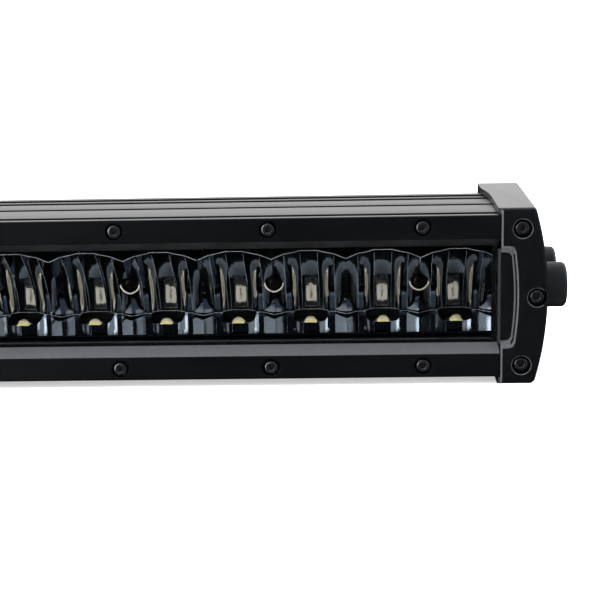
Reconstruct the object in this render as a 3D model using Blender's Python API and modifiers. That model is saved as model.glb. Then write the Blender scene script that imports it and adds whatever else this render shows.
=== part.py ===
"""LED light bar: a single row of half-bowl reflectors in an extruded heatsink housing.

Metres, +Z up. X runs along the bar, the lens faces -Y, and the end caps stand on Z = 0.
Sizes below are in millimetres. A depth is measured backwards from the front of the bezel.
"""

import math

import bmesh
import bpy
from mathutils import Matrix, Vector

MM = 0.001
GAP = 0.3

# Optics
PITCH = 34.0
MODULES = 7
CELLS_PER_MODULE = 2
CELLS = MODULES * CELLS_PER_MODULE
HALF_ROW = CELLS * PITCH / 2
FOCUS_DEPTH = 36.8
FOCUS_Z = 21.5
FOCAL = 11.9
REFLECTOR_FRONT = 19.9
SHELF_FRONT_Z = 19.75
SHELF_SLOPE = 0.146
SHELL = 1.2
FLUTES = (-17.0, -11.5, -4.0, 4.0, 11.5, 17.0)
BOWL_ROWS = 5
WELL_Z = 39.4
WELL_R = 4.3
WELL_FLOOR = 42.0

# Light emitters and boards
BOARD_TOP = 19.3
BOARD_THICK = 1.6
BOARD_FRONT = 27.5
BOARD_BACK = 50.0
LED_SIDE = 7.0
LED_BASE = 1.5
DOME_R = 2.95

# Housing section
HOUSING_BOTTOM = 3.4
HOUSING_TOP = 76.6
GROOVE_Z = 75.2
DECK_GROOVES = ((28.2, 32.0), (45.6, 50.4), (53.8, 59.0))
HOUSING_FRONT = 3.8
TROUGH_FLOOR = 17.4
TROUGH_ROOF = 62.0
TROUGH_BACK = 53.0
FIN_ROOT = 57.5
FIN_TIP = 73.8
FIN_THICK = 2.4
FIN_PITCH = 5.7
FIN_COUNT = 11
MID_Z = 40.0

# Bezel rails, lens and gasket
RAIL_THICK = 3.5
LIP_DEPTH = 8.0
WINDOW_LOW = (14.1, 17.7)
WINDOW_HIGH = (66.1, 61.5)
LENS_FRONT = 8.3
LENS_BACK = 11.3
LENS_LOW = 15.2
LENS_HIGH = 64.0
SEAT = 13.3

# End caps, end plates and side knobs
CAP_INNER = 238.4
CAP_TOP = 79.6
CAP_DEPTH = 76.6
CAP_EDGE_X = 253.4
CAP_BULGE = 5.8
CAP_WALL = 1.8
CAP_FACE = 9.0
FLANGE = 2.7
KNOB_R = 10.3
KNOB_END = 270.0
KNOB_SEAT = 258.8
KNOB_DEPTHS = {"front": 25.0, "rear": 63.0}
GLAND_X = -247.0
GLAND_Z = 22.0
GLAND_END = 92.7

# Screws
SCREW_R = 1.5
HOLE_R = 1.8
BEZEL_SCREW_Z = {"upper": 71.4, "lower": 8.75}
CAP_SCREWS = ((247.7, 70.3), (254.4, 39.4), (247.7, 8.6))

HALF_DEPTH = GLAND_END / 2

AXIS_TURN = {
    "X": Matrix.Rotation(math.pi / 2, 4, "Z") @ Matrix.Rotation(math.pi / 2, 4, "X"),
    "Y": Matrix.Rotation(math.pi / 2, 4, "X"),
    "Z": Matrix.Identity(4),
}


def place(x, depth, z):
    """A point of the bar in metres, from its X, its depth behind the bezel's front and its height."""
    return Vector((x, depth - HALF_DEPTH, z)) * MM


def start_scene():
    for old in list(bpy.data.objects):
        bpy.data.objects.remove(old, do_unlink=True)
    folders = []
    for name in ("led_light_bar", "cutters"):
        folder = bpy.data.collections.new(name)
        bpy.context.scene.collection.children.link(folder)
        folders.append(folder)
    return folders


PARTS, CUTTERS = start_scene()


def material(name, colour, roughness, metallic=0.0, alpha=1.0):
    made = bpy.data.materials.new(name)
    made.use_nodes = True
    shader = made.node_tree.nodes["Principled BSDF"]
    shader.inputs["Base Color"].default_value = (*colour, 1.0)
    shader.inputs["Roughness"].default_value = roughness
    shader.inputs["Metallic"].default_value = metallic
    shader.inputs["Alpha"].default_value = alpha
    return made


def add_object(name, mesh, folder):
    made = bpy.data.objects.new(name, mesh)
    folder.objects.link(made)
    return made


def baked(source, name):
    """A mesh object holding what the viewport shows of source, which is removed with its cutters kept."""
    bpy.context.view_layer.update()
    shown = source.evaluated_get(bpy.context.evaluated_depsgraph_get())
    mesh = bpy.data.meshes.new_from_object(shown)
    mesh.name = name
    matrix = source.matrix_world.copy()
    folder = source.users_collection[0]
    bpy.data.objects.remove(source, do_unlink=True)
    made = add_object(name, mesh, folder)
    made.matrix_world = matrix
    return made


def weld(thing):
    body = bmesh.new()
    body.from_mesh(thing.data)
    bmesh.ops.remove_doubles(body, verts=body.verts, dist=1e-6)
    bmesh.ops.recalc_face_normals(body, faces=body.faces)
    body.to_mesh(thing.data)
    body.free()


def outline(name, axis, loops, low, high, folder=PARTS):
    """A flat outline of one or more loops, pushed from low to high along an axis.

    The loops' points are (depth, z) for axis X, (x, z) for axis Y and (x, depth) for axis Z.
    """
    curve = bpy.data.curves.new(name, "CURVE")
    curve.dimensions = "2D"
    curve.fill_mode = "BOTH"
    curve.extrude = (high - low) / 2 * MM
    for loop in loops:
        spline = curve.splines.new("POLY")
        spline.points.add(len(loop) - 1)
        spline.use_cyclic_u = True
        for point, (a, b) in zip(spline.points, loop):
            if axis == "X":
                a -= HALF_DEPTH
            if axis == "Z":
                b -= HALF_DEPTH
            point.co = (a * MM, b * MM, 0.0, 1.0)
    made = add_object(name, curve, folder)
    middle = (low + high) / 2
    offset = {
        "X": Vector((middle, 0, 0)),
        "Y": Vector((0, middle - HALF_DEPTH, 0)),
        "Z": Vector((0, 0, middle)),
    }[axis]
    made.matrix_world = Matrix.Translation(offset * MM) @ AXIS_TURN[axis]
    made = baked(made, name)
    made.data.transform(made.matrix_world)
    made.matrix_world = Matrix.Identity(4)
    weld(made)
    return made


def box(name, low, high, folder=PARTS):
    """A box between two corners given as (x, depth, z)."""
    a, b = place(*low), place(*high)
    body = bmesh.new()
    size = Matrix.Diagonal((*(b - a), 1.0))
    bmesh.ops.create_cube(body, size=1.0, matrix=Matrix.Translation((a + b) / 2) @ size)
    mesh = bpy.data.meshes.new(name)
    body.to_mesh(mesh)
    body.free()
    return add_object(name, mesh, folder)


def rod(name, axis, centre, low, high, radius, sides, folder=CUTTERS):
    """A cylinder or prism along an axis. centre gives its two other coordinates, in X, depth, Z order."""
    middle = (low + high) / 2
    at = {
        "X": (middle, *centre),
        "Y": (centre[0], middle, centre[1]),
        "Z": (*centre, middle),
    }[axis]
    body = bmesh.new()
    bmesh.ops.create_cone(
        body,
        cap_ends=True,
        segments=sides,
        radius1=radius * MM,
        radius2=radius * MM,
        depth=(high - low) * MM,
        matrix=Matrix.Translation(place(*at)) @ AXIS_TURN[axis],
    )
    mesh = bpy.data.meshes.new(name)
    body.to_mesh(mesh)
    body.free()
    return add_object(name, mesh, folder)


def turned(name, profile, sides, folder=PARTS):
    """A turned shape about its own Z. The profile's (radius, height) points run from top to bottom."""
    mesh = bpy.data.meshes.new(name)
    points = [(r * MM, 0.0, h * MM) for r, h in profile]
    mesh.from_pydata(points, [(i, i + 1) for i in range(len(points) - 1)], [])
    made = add_object(name, mesh, folder)
    screw = made.modifiers.new("turn", "SCREW")
    screw.steps = screw.render_steps = sides
    screw.use_merge_vertices = True
    screw.merge_threshold = 1e-6
    made = baked(made, name)
    weld(made)
    return made


def combine(target, operation, *others):
    """Cuts other objects from target, or joins them to it, and leaves a plain mesh."""
    name = target.name
    for other in others:
        other.hide_render = True
        other.display_type = "WIRE"
        change = target.modifiers.new(operation.lower(), "BOOLEAN")
        change.operation = operation
        change.solver = "EXACT"
        change.object = other
    made = baked(target, name)
    for other in others:
        bpy.data.objects.remove(other, do_unlink=True)
    weld(made)
    return made


def finish(thing, surface, smooth_angle=None):
    thing.data.materials.clear()
    thing.data.materials.append(surface)
    if smooth_angle:
        thing.data.shade_smooth()
        thing.data.set_sharp_from_angle(angle=math.radians(smooth_angle))
    return thing


def copies(source, names, spots):
    """Copies of one piece that share its mesh, each at its own spot, and no source left behind."""
    for name, spot in zip(names, spots):
        made = add_object(name, source.data, PARTS)
        made.matrix_world = Matrix.Translation(spot) @ source.matrix_world
    bpy.data.objects.remove(source, do_unlink=True)


def mirrored(source, name):
    """The same piece for the other end of the bar."""
    made = add_object(name, source.data.copy(), PARTS)
    made.data.transform(Matrix.Scale(-1.0, 4, Vector((1, 0, 0))) @ source.matrix_world)
    made.data.flip_normals()
    return made


def bezel_screw_xs():
    return [(k - (MODULES - 1) / 2) * CELLS_PER_MODULE * PITCH for k in range(MODULES)]


def fin_tip(z):
    return FIN_TIP - 8.5 * ((z - MID_Z) / (HOUSING_TOP - MID_Z)) ** 2


def housing():
    """The extruded heatsink: a trough open to the front, cooling fins behind and hollow decks."""
    front = [
        (FIN_ROOT, HOUSING_BOTTOM + 3.0),
        (61.0, HOUSING_BOTTOM + 3.0),
        (61.0, HOUSING_BOTTOM + 1.0),
        (60.0, HOUSING_BOTTOM),
        (HOUSING_FRONT + 0.8, HOUSING_BOTTOM),
        (HOUSING_FRONT, HOUSING_BOTTOM + 0.8),
        (HOUSING_FRONT, LENS_LOW - 0.6),
        (SEAT, LENS_LOW - 0.6),
        (SEAT, TROUGH_FLOOR),
        (TROUGH_BACK, TROUGH_FLOOR),
        (TROUGH_BACK, TROUGH_ROOF),
        (SEAT, TROUGH_ROOF),
        (SEAT, LENS_HIGH + 0.9),
        (HOUSING_FRONT, LENS_HIGH + 0.9),
        (HOUSING_FRONT, GROOVE_Z - 0.8),
        (HOUSING_FRONT + 0.8, GROOVE_Z),
        (8.3, GROOVE_Z),
        (8.3, HOUSING_TOP),
    ]
    deck = []
    for low, high in DECK_GROOVES:
        deck += [(low, HOUSING_TOP), (low, GROOVE_Z), (high, GROOVE_Z), (high, HOUSING_TOP)]
    deck += [
        (64.0, HOUSING_TOP),
        (66.0, HOUSING_TOP - 1.4),
        (66.0, HOUSING_TOP - 3.0),
        (FIN_ROOT, HOUSING_TOP - 3.0),
    ]
    fins = []
    first = MID_Z + FIN_PITCH * (FIN_COUNT - 1) / 2
    for k in range(FIN_COUNT):
        z = first - k * FIN_PITCH
        top, bottom, tip = z + FIN_THICK / 2, z - FIN_THICK / 2, fin_tip(z)
        fins += [(FIN_ROOT, top), (tip, top), (tip, bottom), (FIN_ROOT, bottom)]
    made = outline("heatsink_housing", "X", [front + deck + fins], -HALF_ROW, HALF_ROW)
    hollows = [
        box("hollow", (-HALF_ROW - 5, start, low), (HALF_ROW + 5, end, high), CUTTERS)
        for low, high in ((6.4, 14.0), (65.4, 72.4))
        for start, end in ((17.0, 34.0), (37.0, 54.0))
    ]
    holes = [
        rod("hole", "Y", (x, z), 3.0, 13.0, HOLE_R, 8)
        for x in bezel_screw_xs()
        for z in BEZEL_SCREW_Z.values()
    ]
    made = combine(made, "DIFFERENCE", *hollows, *holes)
    return finish(made, material("black_anodised_housing", (0.03, 0.032, 0.035), 0.4, 0.6))


def bezel_rail(name, edge, window, lens_edge, screw_z):
    """One of the two front strips. edge is its outer height, and window its opening's front and back."""
    side = 1 if edge > MID_Z else -1
    lip = lens_edge + side * 0.3
    section = [
        (0.0, window[0]),
        (LIP_DEPTH, window[1]),
        (LIP_DEPTH, lip),
        (RAIL_THICK, lip),
        (RAIL_THICK, edge),
        (0.5, edge),
        (0.0, edge - side * 0.5),
    ]
    made = outline(name, "X", [section], -HALF_ROW, HALF_ROW)
    for x in bezel_screw_xs():
        recess = rod("recess", "Y", (x, screw_z), -1.0, 2.3, 3.95, 12)
        hole = rod("hole", "Y", (x, screw_z), 1.0, 5.0, HOLE_R, 8)
        made = combine(made, "DIFFERENCE", recess, hole)
    return made


def bezels():
    paint = material("black_painted_bezel", (0.012, 0.012, 0.014), 0.45)
    upper = bezel_rail(
        "upper_bezel_rail", HOUSING_TOP, WINDOW_HIGH, LENS_HIGH, BEZEL_SCREW_Z["upper"]
    )
    lower = bezel_rail(
        "lower_bezel_rail", HOUSING_BOTTOM, WINDOW_LOW, LENS_LOW, BEZEL_SCREW_Z["lower"]
    )
    finish(upper, paint)
    finish(lower, paint)


def lens():
    end = HALF_ROW - GAP
    low, high = (-end, LENS_FRONT, LENS_LOW), (end, LENS_BACK, LENS_HIGH)
    made = box("lens", low, high)
    return finish(made, material("clear_lens", (0.9, 0.93, 0.95), 0.04, 0.0, 0.2))


def lens_gasket():
    end = HALF_ROW - GAP
    outer = [(-end, LENS_LOW), (end, LENS_LOW), (end, LENS_HIGH), (-end, LENS_HIGH)]
    x = end - 2.2
    inner = [(-x, TROUGH_FLOOR), (x, TROUGH_FLOOR), (x, TROUGH_ROOF), (-x, TROUGH_ROOF)]
    made = outline("lens_gasket", "Y", [outer, inner], LENS_BACK + GAP, SEAT - GAP)
    return finish(made, material("black_silicone_gasket", (0.01, 0.01, 0.011), 0.8))


def bowl_depth(x, z):
    """Depth of the paraboloid bowl at a distance x from its cell's middle and at height z."""
    return FOCUS_DEPTH + FOCAL - (x * x + (z - FOCUS_Z) ** 2) / (4 * FOCAL)


def shelf_height(depth):
    return SHELF_FRONT_Z + SHELF_SLOPE * (depth - REFLECTOR_FRONT)


def bowl_foot(x):
    """Depth and height where the bowl meets its sloping shelf."""
    z = FOCUS_Z
    for _ in range(8):
        z = shelf_height(bowl_depth(x, z))
    return bowl_depth(x, z), z


def reflector_grid(offset):
    """Rows of points over one module, from the shelf's front edge, up the bowls, to the arched rim.

    offset pushes the surface backwards and outwards, for the moulding's rear side.
    """
    rim = 4 * FOCAL * (FOCAL + FOCUS_DEPTH - REFLECTOR_FRONT)
    columns = []
    for cell in (-1, 1):
        for x in FLUTES[(cell + 1) // 2 :]:
            depth, z = bowl_foot(x)
            top = FOCUS_Z + math.sqrt(rim - x * x)
            across = cell * PITCH / 2 + x
            if abs(across) > PITCH - 0.01:
                across = math.copysign(PITCH - GAP / 2, across)
            column = [(across, REFLECTOR_FRONT, SHELF_FRONT_Z - offset)]
            for k in range(BOWL_ROWS + 1):
                share = k / BOWL_ROWS
                height = z + (top - z) * share
                back = bowl_depth(x, height)
                down = offset * (1 - share) if k else offset
                if k < BOWL_ROWS:
                    back += offset
                lift = offset * share
                column.append((across, back, height + lift - (down if k == 0 else 0)))
            columns.append(column)
    return columns


def reflector_shell():
    """A two-cell moulding: the bright front skin and its rear side, joined along their edges."""
    body = bmesh.new()
    skins = []
    for offset in (0.0, SHELL):
        skins.append(
            [[body.verts.new(place(*point)) for point in column] for column in reflector_grid(offset)]
        )
    wide, tall = len(skins[0]), len(skins[0][0])
    for skin in skins:
        for i in range(wide - 1):
            for j in range(tall - 1):
                body.faces.new(
                    (skin[i][j], skin[i + 1][j], skin[i + 1][j + 1], skin[i][j + 1])
                )
    front, back = skins
    for i in range(wide - 1):
        for j in (0, tall - 1):
            body.faces.new((front[i][j], front[i + 1][j], back[i + 1][j], back[i][j]))
    for j in range(tall - 1):
        for i in (0, wide - 1):
            body.faces.new((front[i][j], front[i][j + 1], back[i][j + 1], back[i][j]))
    bmesh.ops.triangulate(body, faces=body.faces)
    bmesh.ops.recalc_face_normals(body, faces=body.faces)
    mesh = bpy.data.meshes.new("reflector")
    body.to_mesh(mesh)
    body.free()
    return add_object("reflector", mesh, PARTS)


def notch(x):
    """The cut-out in the shelf that leaves the light emitter free."""
    plan = [(-8.0, 46.0), (-7.7, 39.0), (-6.6, 34.6), (-4.4, 32.5)]
    plan += [(-across, depth) for across, depth in reversed(plan)]
    loop = [(x + across, depth) for across, depth in plan]
    return outline("notch", "Z", [loop], 15.0, 23.3, CUTTERS)


def reflectors():
    made = reflector_shell()
    made = combine(made, "DIFFERENCE", notch(-PITCH / 2), notch(PITCH / 2))
    post = rod("post", "Y", (0.0, WELL_Z), 36.5, TROUGH_BACK - GAP, WELL_R + 1.4, 12)
    made = combine(made, "UNION", post)
    well = rod("well", "Y", (0.0, WELL_Z), 15.0, WELL_FLOOR, WELL_R, 12)
    hole = rod("hole", "Y", (0.0, WELL_Z), WELL_FLOOR - 1.0, TROUGH_BACK + 1.0, HOLE_R, 8)
    made = combine(made, "DIFFERENCE", well, hole)
    finish(made, material("metallised_reflector", (0.35, 0.36, 0.38), 0.06, 1.0))
    names = [f"reflector_module_{k + 1}" for k in range(MODULES)]
    copies(made, names, [Vector((x * MM, 0, 0)) for x in bezel_screw_xs()])


def led_board():
    end = HALF_ROW - 2.0
    made = box(
        "led_board",
        (-end, BOARD_FRONT, BOARD_TOP - BOARD_THICK),
        (end, BOARD_BACK, BOARD_TOP),
    )
    return finish(made, material("black_solder_mask", (0.01, 0.01, 0.01), 0.35))


def emitters():
    """One emitter for each cell: a ceramic base with its moulded dome."""
    low = BOARD_TOP + GAP
    half = LED_SIDE / 2
    made = box(
        "led", (-half, FOCUS_DEPTH - half, low), (half, FOCUS_DEPTH + half, low + LED_BASE)
    )
    steps = 3
    arc = [
        (DOME_R * math.sin(k * math.pi / 2 / steps), DOME_R * math.cos(k * math.pi / 2 / steps))
        for k in range(steps + 1)
    ]
    dome = turned("dome", [*arc, (DOME_R, -0.3), (0.0, -0.3)], 10, CUTTERS)
    dome.matrix_world = Matrix.Translation(place(0.0, FOCUS_DEPTH, low + LED_BASE))
    made = combine(made, "UNION", dome)
    finish(made, material("emitter_dome", (0.85, 0.8, 0.5), 0.15))
    first = -(CELLS - 1) / 2 * PITCH
    names = [f"led_emitter_{k + 1:02d}" for k in range(CELLS)]
    copies(made, names, [Vector(((first + k * PITCH) * MM, 0, 0)) for k in range(CELLS)])


def driver_board():
    """The current regulator on the trough's back wall, above the reflector screws."""
    made = box("driver_board", (-150.0, 50.8, 48.8), (150.0, 52.4, 61.0))
    blocks = (
        (-128.0, 14.0, 8.0),
        (-60.0, 18.0, 7.0),
        (-18.0, 9.0, 5.5),
        (34.0, 18.0, 7.0),
        (96.0, 12.0, 8.5),
    )
    for x, width, height in blocks:
        block = box(
            "block", (x - width / 2, 51.0 - height, 50.5), (x + width / 2, 51.5, 59.5), CUTTERS
        )
        made = combine(made, "UNION", block)
    return finish(made, material("green_driver_board", (0.02, 0.12, 0.05), 0.5))


def cap_edge(z, inset=0.0):
    """X of the end cap's bowed outer side at a height."""
    return CAP_EDGE_X + CAP_BULGE * (1 - ((z - MID_Z) / MID_Z) ** 2) - inset


def cap_side(low, high, steps, inset=0.0):
    """Points up the bowed side. An odd number of steps leaves an upright facet in the middle."""
    heights = [low + (high - low) * k / steps for k in range(steps + 1)]
    return [(cap_edge(z, inset), z) for z in heights]


def flange_plan():
    """Plan of what the cap leaves free: its inner edge runs further inwards towards the rear."""
    edge = [(239.0, -5.0), (239.0, 0.0), (238.4, 0.6), (237.0, 1.6), (237.0, 36.0)]
    edge += [(236.6, 44.0), (235.6, 51.0), (234.6, 57.0), (234.1, 63.0), (234.0, 80.0)]
    return [*edge, (225.0, 80.0), (225.0, -5.0)]


def scoop():
    """The shallow D-shaped recess in the cap's face, wider at the front than at its floor."""
    body = bmesh.new()
    rings = []
    for depth, low, high, inset in ((-1.0, 16.2, 63.0, 12.4), (2.5, 19.2, 60.2, 15.4)):
        side = [
            (cap_edge(z, inset), z)
            for z in (low + 1.6, *(low + (high - low) * k / 8 for k in range(1, 8)), high - 1.6)
        ]
        corner_low = (side[0][0] - 1.4, low)
        corner_high = (side[-1][0] - 1.4, high)
        points = [(232.0, low), corner_low, *side, corner_high, (232.0, high)]
        rings.append([body.verts.new(place(x, depth, z)) for x, z in points])
    count = len(rings[0])
    for k in range(count):
        after = (k + 1) % count
        body.faces.new((rings[0][k], rings[0][after], rings[1][after], rings[1][k]))
    for ring in rings:
        body.faces.new(ring)
    bmesh.ops.recalc_face_normals(body, faces=body.faces)
    mesh = bpy.data.meshes.new("scoop")
    body.to_mesh(mesh)
    body.free()
    return add_object("scoop", mesh, CUTTERS)


def end_cap():
    """The right end cap: a casting that laps over the housing, with three screws in its face."""
    corner = 1.0
    shape = [(234.0, 0.0), (cap_edge(0.0) - corner, 0.0)]
    shape += cap_side(corner, 2 * MID_Z - corner, 9)
    shape += [(cap_edge(CAP_TOP) - corner, CAP_TOP), (234.0, CAP_TOP)]
    made = outline("end_cap_right", "Y", [shape], 0.0, CAP_DEPTH)
    plan = outline("plan", "Z", [flange_plan()], -5.0, CAP_TOP + 5.0, CUTTERS)
    inner_low, inner_high = FLANGE + 0.4, CAP_TOP - FLANGE
    room = box("room", (225.0, -5.0, inner_low), (CAP_INNER, 74.3, inner_high), CUTTERS)
    hollow = [(236.0, inner_low), *cap_side(inner_low, inner_high, 9, CAP_WALL), (236.0, inner_high)]
    cavity = outline("cavity", "Y", [hollow], CAP_FACE, 74.3, CUTTERS)
    made = combine(made, "DIFFERENCE", plan, room, cavity)
    strip = [(237.2, 4.2), (238.2, 2.5), (240.0, 2.5), (240.0, LIP_DEPTH), (237.2, LIP_DEPTH)]
    tongue = outline("tongue", "Z", [strip], WINDOW_LOW[1] + 0.4, WINDOW_HIGH[1] - 0.4, CUTTERS)
    made = combine(made, "UNION", tongue)
    made = combine(made, "DIFFERENCE", scoop())
    for x, z in CAP_SCREWS:
        recess = rod("recess", "Y", (x, z), -1.0, 5.0, 4.2, 12)
        hole = rod("hole", "Y", (x, z), 4.0, CAP_FACE + 1.0, HOLE_R, 8)
        made = combine(made, "DIFFERENCE", recess, hole)
    for depth in KNOB_DEPTHS.values():
        flat = rod("flat", "X", (depth, MID_Z), KNOB_SEAT, 264.0, KNOB_R + 0.9, 20)
        hole = rod("hole", "X", (depth, MID_Z), 250.0, 264.0, 3.3, 12)
        made = combine(made, "DIFFERENCE", flat, hole)
    return made


def end_caps():
    paint = material("black_powder_coat", (0.016, 0.016, 0.018), 0.55)
    right = end_cap()
    left = mirrored(right, "end_cap_left")
    port = rod("port", "Y", (GLAND_X, GLAND_Z), 70.0, 80.0, 6.3, 16)
    left = combine(left, "DIFFERENCE", port)
    finish(right, paint, 20)
    finish(left, paint, 20)


def end_plates():
    """The plates that close the housing's ends and hold the caps' screws in three lugs."""
    start, end = CAP_INNER + 1.0, 243.9
    low, high = 3.7, 76.3
    section = [(CAP_FACE + 0.6, low), (73.0, low), (73.0, high), (CAP_FACE + 0.6, high)]
    made = outline("end_plate_right", "X", [section], start, end)
    reach = (251.6, cap_edge(MID_Z) - CAP_WALL - 0.4, 251.6)
    for (x, z), outer in zip(CAP_SCREWS, reach):
        lug = box(
            "lug", (end - 0.5, CAP_FACE + 0.6, z - 4.2), (outer, 20.0, z + 4.2), CUTTERS
        )
        made = combine(made, "UNION", lug)
        hole = rod("hole", "Y", (x, z), 8.0, 18.0, HOLE_R, 8)
        made = combine(made, "DIFFERENCE", hole)
    for depth in KNOB_DEPTHS.values():
        hole = rod("hole", "X", (depth, MID_Z), start + 1.2, 246.0, 3.3, 12)
        made = combine(made, "DIFFERENCE", hole)
    metal = material("cast_end_plate", (0.05, 0.05, 0.055), 0.5, 0.5)
    left = mirrored(made, "end_plate_left")
    finish(made, metal)
    finish(left, metal)


def end_gaskets():
    outer = [(9.6, 4.5), (57.0, 4.5), (57.0, 75.0), (9.6, 75.0)]
    inner = [(SEAT, 18.4), (52.0, 18.4), (52.0, 61.0), (SEAT, 61.0)]
    made = outline("end_gasket_right", "X", [outer, inner], HALF_ROW + GAP, CAP_INNER + 0.7)
    rubber = material("black_end_gasket", (0.01, 0.01, 0.011), 0.8)
    left = mirrored(made, "end_gasket_left")
    finish(made, rubber)
    finish(left, rubber)


def socket_screw(name, head_r, head_top, head_floor, tip, key_r):
    """A hex-socket screw about its own Z, its head up, with its head's top at height -head_top."""
    profile = [
        (0.0, -head_top),
        (head_r, -head_top),
        (head_r, -head_floor),
        (SCREW_R, -head_floor),
        (SCREW_R, -tip),
        (0.0, -tip),
    ]
    made = turned(name, profile, 12, PARTS)
    key = bmesh.new()
    deep = (head_floor - head_top) * 0.65
    bmesh.ops.create_cone(
        key,
        cap_ends=True,
        segments=6,
        radius1=key_r * MM,
        radius2=key_r * MM,
        depth=2 * deep * MM,
        matrix=Matrix.Translation((0, 0, -head_top * MM)),
    )
    mesh = bpy.data.meshes.new("key")
    key.to_mesh(mesh)
    key.free()
    made = combine(made, "DIFFERENCE", add_object("key", mesh, CUTTERS))
    made.data.transform(Matrix.Rotation(math.pi / 2, 4, "X"))
    return made


def screws():
    zinc = material("black_zinc_screw", (0.03, 0.03, 0.03), 0.3, 0.9)
    bezel = finish(socket_screw("bezel_screw", 2.8, 0.2, 2.0, 12.0, 1.5), zinc, 30)
    names, spots = [], []
    for row, z in BEZEL_SCREW_Z.items():
        for k, x in enumerate(bezel_screw_xs()):
            names.append(f"{row}_bezel_screw_{k + 1}")
            spots.append(place(x, 0.0, z))
    copies(bezel, names, spots)
    cap = finish(socket_screw("cap_screw", 2.9, 1.8, 4.7, 17.5, 1.6), zinc, 30)
    names, spots = [], []
    for side, sign in (("left", -1), ("right", 1)):
        for height, (x, z) in zip(("top", "middle", "bottom"), CAP_SCREWS):
            names.append(f"cap_screw_{height}_{side}")
            spots.append(place(sign * x, 0.0, z))
    copies(cap, names, spots)


def side_knobs():
    """The round moulded heads on the caps' sides, each on its own threaded stud."""
    start = KNOB_SEAT + GAP
    length = KNOB_END - start
    round_off = 2.2
    rim = [
        (
            KNOB_R - round_off * (1 - math.sin(a)),
            length - round_off * (1 - math.cos(a)),
        )
        for a in (k * math.pi / 4 for k in range(3))
    ]
    profile = [
        (0.0, length - 0.8),
        (6.4, length - 0.8),
        (7.2, length),
        *rim,
        (KNOB_R, 0.0),
        (3.0, 0.0),
        (3.0, 241.0 - start),
        (0.0, 241.0 - start),
    ]
    made = turned("side_knob", profile, 18, PARTS)
    key = rod("key", "Z", (0.0, HALF_DEPTH), length - 5.0, length + 1.0, 3.2, 6)
    made = combine(made, "DIFFERENCE", key)
    finish(made, material("black_moulded_knob", (0.012, 0.012, 0.013), 0.5), 30)
    for side, sign in (("left", -1), ("right", 1)):
        for row, depth in KNOB_DEPTHS.items():
            knob = add_object(f"side_knob_{row}_{side}", made.data, PARTS)
            turn = Matrix.Rotation(sign * math.pi / 2, 4, "Y")
            knob.matrix_world = Matrix.Translation(place(sign * start, depth, MID_Z)) @ turn
    bpy.data.objects.remove(made, do_unlink=True)


def cable_gland():
    """The cord's inlet at the rear of the left cap: a threaded body and its clamping nut."""
    at = (GLAND_X, GLAND_Z)
    body = rod("cable_gland_body", "Y", at, CAP_DEPTH + GAP, 81.6, 9.2, 6, PARTS)
    thread = rod("thread", "Y", at, 73.4, 89.5, 5.8, 16)
    body = combine(body, "UNION", thread)
    bore = rod("bore", "Y", at, 60.0, 95.0, 3.6, 12)
    body = combine(body, "DIFFERENCE", bore)
    nut = rod("cable_gland_nut", "Y", at, 82.0, GLAND_END, 8.2, 12, PARTS)
    inside = rod("inside", "Y", at, 80.0, 90.2, 6.2, 16)
    mouth = rod("mouth", "Y", at, 88.0, 95.0, 3.2, 12)
    nut = combine(nut, "DIFFERENCE", inside, mouth)
    plastic = material("black_gland_plastic", (0.012, 0.012, 0.012), 0.55)
    finish(body, plastic)
    finish(nut, plastic)


def build():
    housing()
    bezels()
    lens()
    lens_gasket()
    reflectors()
    led_board()
    emitters()
    driver_board()
    end_caps()
    end_plates()
    end_gaskets()
    screws()
    side_knobs()
    cable_gland()


build()
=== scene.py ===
"""The LED light bar's looks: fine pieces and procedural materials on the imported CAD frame.

Lengths are in millimetres. A point is (x, depth, z), and depth runs back from the bezel's front.
"""

import math

import bmesh
import bpy
from mathutils import Matrix, Vector


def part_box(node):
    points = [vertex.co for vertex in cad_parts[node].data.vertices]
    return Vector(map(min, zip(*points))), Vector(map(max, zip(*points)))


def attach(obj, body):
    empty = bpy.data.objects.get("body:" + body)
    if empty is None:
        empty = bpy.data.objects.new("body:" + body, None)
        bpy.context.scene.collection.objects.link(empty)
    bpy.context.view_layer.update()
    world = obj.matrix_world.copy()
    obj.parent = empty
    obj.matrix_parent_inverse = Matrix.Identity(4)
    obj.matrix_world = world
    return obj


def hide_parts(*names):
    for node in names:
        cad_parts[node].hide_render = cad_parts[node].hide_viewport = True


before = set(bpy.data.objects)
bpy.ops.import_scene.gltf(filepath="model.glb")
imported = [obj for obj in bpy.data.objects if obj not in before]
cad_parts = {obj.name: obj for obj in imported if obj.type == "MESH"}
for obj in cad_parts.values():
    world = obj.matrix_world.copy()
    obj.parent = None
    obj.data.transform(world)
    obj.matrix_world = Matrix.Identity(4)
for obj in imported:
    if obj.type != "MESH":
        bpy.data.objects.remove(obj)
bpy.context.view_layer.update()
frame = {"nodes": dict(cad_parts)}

MM = 0.001
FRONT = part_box("end_cap_right")[0].y / MM

# Optics
PITCH = 34.0
HALF_CELL = PITCH / 2
MODULES = 7
HALF_ROW = 238.0
VERTEX_DEPTH = 48.7
FOCUS_Z = 21.5
FOCAL = 11.9
REFLECTOR_FRONT = 19.9
SHELF_FRONT_Z = 19.75
SHELF_SLOPE = 0.146
SHELL = 0.9
FLUTES = (-17.0, -11.5, -4.0, 4.0, 11.5, 17.0)
BULGES = (0.18, 1.05, 0.06, 1.05, 0.18)
RIM_BULGE = 0.2
FLUTE_STEPS = 6
BOWL_ROWS = 40
NOTCH_Z = 24.4
RELIEF_Z = 23.72
WELL_Z = 39.4
WELL_R = 4.3
WELL_FLOOR = 42.0
LED_DEPTH = 37.1
LED_LOW = 19.6
LED_TOP = 21.1
DOME_R = 2.7
PAD_START = 41.0
PAD_HALF_WIDTH = 6.6
PAD_LENGTH = 3.1

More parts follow.
